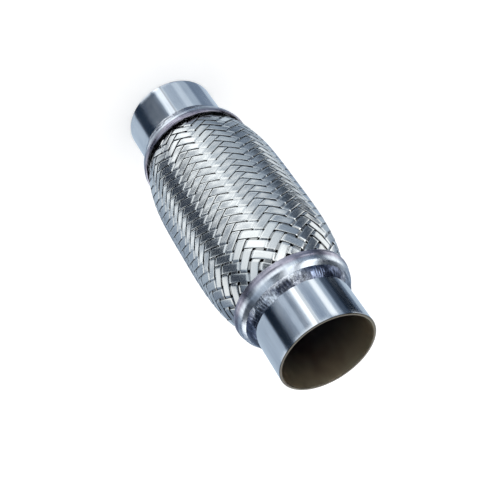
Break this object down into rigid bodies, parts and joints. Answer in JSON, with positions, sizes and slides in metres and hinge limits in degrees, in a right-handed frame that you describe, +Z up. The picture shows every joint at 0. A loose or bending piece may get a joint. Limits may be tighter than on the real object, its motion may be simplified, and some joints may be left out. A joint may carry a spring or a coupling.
{
  "type": "exhaust flex pipe",
  "caption": "Braided exhaust flex pipe: steel braid over a bellows and woven liner, crimped into end rings, with a plain pipe nipple welded to each end.",
  "frame": {"origin": "centre of the lower mouth, where the pipe stands", "axes": "+Z up along the pipe's axis; the two ends mirror each other"},
  "size_m": [0.076, 0.076, 0.2],
  "materials": {
    "nipple_steel": "smooth drawn stainless tube with fine lengthwise lines",
    "weld_steel": "rippled weld metal, bright with grey heat tint",
    "ring_steel": "pressed stainless with a faint purple grey heat tint",
    "braid_steel": "flat bright strands with fine lengthwise brushing",
    "bellows_steel": "thin formed stainless",
    "liner_steel": "woven stainless wire"
  },
  "bodies": {
    "root": {"upper_nipple": "nipple_steel", "lower_nipple": "nipple_steel", "upper_weld_bead": "weld_steel", "lower_weld_bead": "weld_steel", "upper_end_ring": "ring_steel", "lower_end_ring": "ring_steel", "outer_braid": "braid_steel", "bellows_outer_ply": "bellows_steel", "bellows_inner_ply": "bellows_steel", "inner_braid_sleeve": "liner_steel"}
  },
  "joints": []
}
